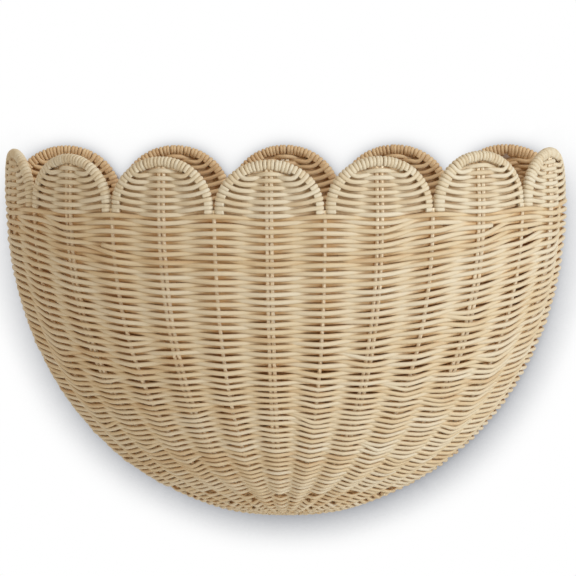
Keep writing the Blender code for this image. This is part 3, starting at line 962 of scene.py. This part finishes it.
def bind(bundle, arch, strand, radius, tone=None, wide=BINDING_WIDENING):
    """Puts a strand of an arch, given with its facing directions, in its place on the basket."""
    path, faces = strand
    points = arch.place(path)
    nearby = arch.place(path + faces * PLACE_STEP)
    # How far the strand lies behind the middle sets its painted shade
    inward = ease(-path[:, 2] / FAR_DEPTH)
    bundle.add(points, unit(nearby - points), radius, inward, tone, wide)


def dress_tongue(arch, side, reach, holed, seed, weavers, rod_bundle):
    """One scallop: its weavers, the binding over the top of its arch, and the rod inside. On a
    back tongue without a hanging hole, the short binding leaves room for one more weaver."""
    draws = np.random.default_rng(seed)
    rows = TONGUE_ROWS + (side < 0 and not holed)
    sag = FRONT_TONGUE_SAG if side > 0 else BACK_TONGUE_SAG
    for index in range(rows):
        run = LOWEST_RUN + LEG_PITCH * index
        left, right, rise = draws.normal(0, TONGUE_WAVE, 3)
        row_side = side if index % 2 == 0 else -side
        detour = HOLE_DETOURS.get(rows - index, 0) if holed else 0
        middle = TONGUE_PITCH * index * arch.lift - sag + rise
        tone = draws.uniform(0, 1)
        right_run = arch.length - run + right
        for strand in tongue_row(arch, run + left, right_run, middle, row_side, detour):
            bind(weavers, arch, strand, BINDING_RADIUS, tone)
    start = LOWEST_RUN + LEG_PITCH * rows
    count = round((arch.length - 2 * start) / (2 * BINDING_RADIUS)) + 1
    for run in np.linspace(start, arch.length - start, count):
        length = reach * draws.uniform(*TURN_LENGTHS)
        if holed:
            gain = HOLE_GAIN * abs(run - arch.length / 2) ** 2 / HOLE_REACH
            length = min(length, HOLE_TURN + gain)
        strand = binding_turn(arch, run + draws.normal(0, TURN_WAVE), length)
        bind(rod_bundle, arch, strand, BINDING_RADIUS, wide=TURN_WIDENING)
    flat = arch.point(np.linspace(0, arch.length, ROD_SAMPLES))
    rod = np.concatenate([flat, np.zeros((ROD_SAMPLES, 1))], -1)
    facing = np.tile([0.0, 0.0, 1.0], (ROD_SAMPLES, 1))
    bind(rod_bundle, arch, (rod, facing), ROD_RADIUS, ROD_TONE)


def front_place(middle_run):
    """Places (across, up, out) on the front rim round a scallop's middle."""
    def place(path):
        points, normals = bowl(turn_at(middle_run + path[:, 0]), VALLEY_Z + path[:, 1])
        return points + normals * path[:, 2:]
    return place


def back_place(x):
    """Places (across, up, out) on the back's tongue round x, with out towards the room."""
    def place(path):
        return np.stack([x + path[:, 0], -WALL / 2 - path[:, 2], VALLEY_Z + path[:, 1]], -1)
    return place


def frame_core():
    """The rod inside the bound outline, along the corner's middle all round the back."""
    angles = np.linspace(0, math.pi, FRAME_SAMPLES)
    cos, sin = np.cos(angles), np.sin(angles)
    x = HALF_WIDTH * (np.abs(cos) ** (2 / ROUND) * np.sign(cos))
    y = FRONT_PLANE + CORNER_RADIUS * math.sqrt(0.5)
    z = VALLEY_Z - FRAME_INSET - (DROP - FRAME_INSET) * np.abs(sin) ** (2 / ROUND)
    line = np.stack([x, np.full_like(z, y), z], -1)
    rim = np.abs(cos) ** (2 * (ROUND - 1) / ROUND) * np.sign(cos)
    down = np.abs(sin) ** (2 * (ROUND - 1) / ROUND)
    out = unit(np.stack([rim / HALF_WIDTH, 0 * z, -down / DROP], -1))
    return line - out * CORNER_RADIUS * (1 - math.sqrt(0.5)), out


def dress_walls():
    """The woven walls of bowl, back and base."""
    straw = rattan("straw_weavers", STRAW)
    rows = list_rows()
    upper, lower, sides = weave_front(rows, row_heights(rows))
    upper.make("upper_weavers", straw, "weave", ["front_weave"])
    lower.make("lower_weavers", straw, "weave", ["front_weave"])
    sides.make("short_weavers", straw, "weave", ["front_weave"])
    # The back's weavers take the straw's colours darkened as painted shade
    weave_back().make("back_weavers", rattan("shaded_back_weavers", SHADED_STRAW), "weave", ["back_weave"])
    weave_base().make("base_weavers", straw, "weave", ["base_weave"])


def dress_tongues():
    """The seven tongues of the bowl, whose arches the frame counts from the right, and the five
    of the back, of which the outer two have a hanging hole."""
    # The back's tongues and binding take the pale colours darkened as painted shade
    pale, warm = rattan("pale_binding", PALE, True), rattan("shaded_back_binding", SHADED_PALE, True)
    front_weavers, back_weavers = Bundle(6), Bundle(7)
    for scallop in range(FRONT_STATIONS // 2):
        place = front_place((2 * scallop + 1) * FRONT_SPACING)
        arch = Arch(FRONT_SPACING - ARCH_GAP, ARCH_RISE + FRONT_RISES.get(scallop, 0), place)
        rod, seed = Bundle(FRONT_ROD_SEED + scallop), FRONT_TONGUE_SEED + scallop
        dress_tongue(arch, 1, FRONT_BINDING_REACH, False, seed, front_weavers, rod)
        node = f"front_arch_{FRONT_STATIONS // 2 - scallop}"
        rod.make(node + "_binding", pale, "bound_rod", [node])
    for scallop in range(BACK_STATIONS // 2):
        place = back_place((2 * scallop + 1) * BACK_SPACING - HALF_WIDTH)
        arch = Arch(BACK_SPACING - ARCH_GAP, ARCH_RISE, place)
        holed = scallop in (0, BACK_STATIONS // 2 - 1)
        reach = HOLED_BINDING_REACH if holed else BACK_BINDING_REACH
        rod, seed = Bundle(BACK_ROD_SEED + scallop), BACK_TONGUE_SEED + scallop
        dress_tongue(arch, -1, reach, holed, seed, back_weavers, rod)
        node = f"back_arch_{scallop + 1}"
        rod.make(node + "_binding", warm, "bound_rod", [node])
    front_weavers.make("front_tongue_weavers", pale, "weave", ["front_weave"])
    back_weavers.make("back_tongue_weavers", warm, "weave", ["back_weave"])


def dress_frame():
    """The outline's rod, and the finish of the stakes that are kept from the frame."""
    core = Bundle(8)
    line, out = frame_core()
    core.add(line, out, FRAME_CORE_RADIUS, FRAME_INWARD, FRAME_TONE)
    core.make("outline_rod", rattan("peeled_rod", PEELED), "bound_rod", ["outline_frame"])
    finish = stake_finish()
    for name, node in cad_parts.items():
        if "_stake_" in name:
            node.data.materials.clear()
            node.data.materials.append(finish)


def stage_plane(name, corners, material):
    """A flat sheet of the stage."""
    mesh = bpy.data.meshes.new(name)
    mesh.from_pydata(corners, [], [(0, 1, 2, 3)])
    mesh.materials.append(material)
    sheet = bpy.data.objects.new(name, mesh)
    bpy.context.scene.collection.objects.link(sheet)


def pale_floor():
    """The floor, well below the hanging basket. From below it is clear, so that the basket's
    underside can be looked at."""
    finish = Finish("pale_floor")
    finish.set(Base_Color=linear(FLOOR_GREY), Roughness=0.9)
    finish.show(1 - finish.node("ShaderNodeNewGeometry", {}, {}, "Backfacing"))
    size, z = FLOOR_HALF, cad_low.z - FLOOR_DEPTH
    corners = [(-size, -size, z), (size, -size, z), (size, size, z), (-size, size, z)]
    stage_plane("floor", corners, finish.material)


def pale_wall():
    """The wall that the basket hangs on, seen only from the room. It is there for the eye only, and it
    glows white with a painted soft shadow all round the basket, deeper towards the bottom, and painted
    dark brown where the basket covers it; light passes through it, so that the basket's back is lit in
    other views."""
    finish = Finish("pale_wall")
    inputs = {"Distance": SHADOW_REACH}
    settings = {"samples": SHADOW_SAMPLES}
    openness = finish.node("ShaderNodeAmbientOcclusion", settings, inputs, "AO")
    height = finish.node("ShaderNodeSeparateXYZ", {}, {0: finish.place()}, "Z")
    # Painted shadow, deeper where the basket covers more of the wall and towards the bottom
    strength = finish.mapped(height, (VALLEY_Z, VALLEY_Z - DROP), (SHADOW_TOP, SHADOW_FOOT))
    painted_halo = finish.ramp(1 - (1 - openness) * strength, HALO_STOPS)
    shadow = finish.blend(finish.mapped(openness, COVERED), painted_halo, linear(HOLE_SHADE))
    finish.set(Base_Color=(0, 0, 0, 1), Roughness=1.0, Specular_IOR_Level=0.0)
    finish.set(Emission_Color=shadow, Emission_Strength=1.0)
    seen = finish.node("ShaderNodeLightPath", {}, {}, "Is Camera Ray")
    behind = finish.node("ShaderNodeNewGeometry", {}, {}, "Backfacing")
    finish.show(seen * (1 - behind))
    size, y = WALL_HALF, WALL_Y
    corners = [(-size, y, -size), (size, y, -size), (size, y, size), (-size, y, size)]
    stage_plane("wall", corners, finish.material)


def white_world():
    """Even warm daylight, which the eye, gloss and glass see as white."""
    world = bpy.data.worlds.new("white_room")
    world.use_nodes = True
    room = Nodes(world.node_tree)
    seen = room.node("ShaderNodeLightPath", {}, {}, "Is Camera Ray")
    seen = seen + room.node("ShaderNodeLightPath", {}, {}, "Is Transmission Ray")
    seen = seen + room.node("ShaderNodeLightPath", {}, {}, "Is Glossy Ray")
    background = room.tree.nodes["Background"]
    room.feed(background.inputs["Color"], room.blend(seen, WARM_SHADE, WHITE))
    room.feed(background.inputs["Strength"], room.mapped(seen, (0.0, 1.0), (AMBIENT, 1.0)))
    bpy.context.scene.world = world


def soft_lamp(name, place, aim, size, power):
    """A square soft light that looks at a point."""
    light = bpy.data.lights.new(name, "AREA")
    light.shape, light.size, light.energy = "SQUARE", size, power
    light.color = LAMP_COLOUR
    lamp = bpy.data.objects.new(name, light)
    back = unit(np.array(place) - np.array(aim))
    right = unit(np.cross([0, 0, 1], back))
    lamp.matrix_world = placement(right, np.cross(back, right), back, place)
    lamp.visible_camera = False
    bpy.context.scene.collection.objects.link(lamp)


def placement(right, up, back, place):
    """The placement whose axes are right, up and back."""
    rows = [(right[i], up[i], back[i], place[i]) for i in range(3)] + [(0, 0, 0, 1)]
    return Matrix(rows)


def photo_camera():
    """The camera at the photograph's angle, with its slight roll."""
    azimuth, elevation, roll = (math.radians(angle) for angle in (AZIMUTH, ELEVATION, ROLL))
    level = math.cos(elevation)
    back = np.array([math.sin(azimuth) * level, -math.cos(azimuth) * level, math.sin(elevation)])
    right = np.array([math.cos(azimuth), math.sin(azimuth), 0])
    up = np.cross(back, right)
    target = np.array(AIM) + AIM_SHIFT[0] * right + AIM_SHIFT[1] * up
    rolled_right = right * math.cos(roll) + up * math.sin(roll)
    rolled_up = up * math.cos(roll) - right * math.sin(roll)
    data = bpy.data.cameras.new("photo_camera")
    data.sensor_width = SENSOR_MM
    data.lens = FOCAL_PIXELS / PICTURE_PIXELS * SENSOR_MM
    data.clip_start, data.clip_end = CLIP
    camera = bpy.data.objects.new("photo_camera", data)
    camera.matrix_world = placement(rolled_right, rolled_up, back, target + back * DISTANCE)
    bpy.context.scene.collection.objects.link(camera)
    bpy.context.scene.camera = camera


dress_walls()
dress_tongues()
dress_frame()
pale_floor()
pale_wall()
white_world()
soft_lamp("key_light", KEY_PLACE, KEY_AIM, KEY_SIZE, KEY_POWER)
soft_lamp("floor_glow", GLOW_PLACE, GLOW_AIM, GLOW_SIZE, GLOW_POWER)
photo_camera()
bpy.context.scene.view_settings.view_transform = "Standard"
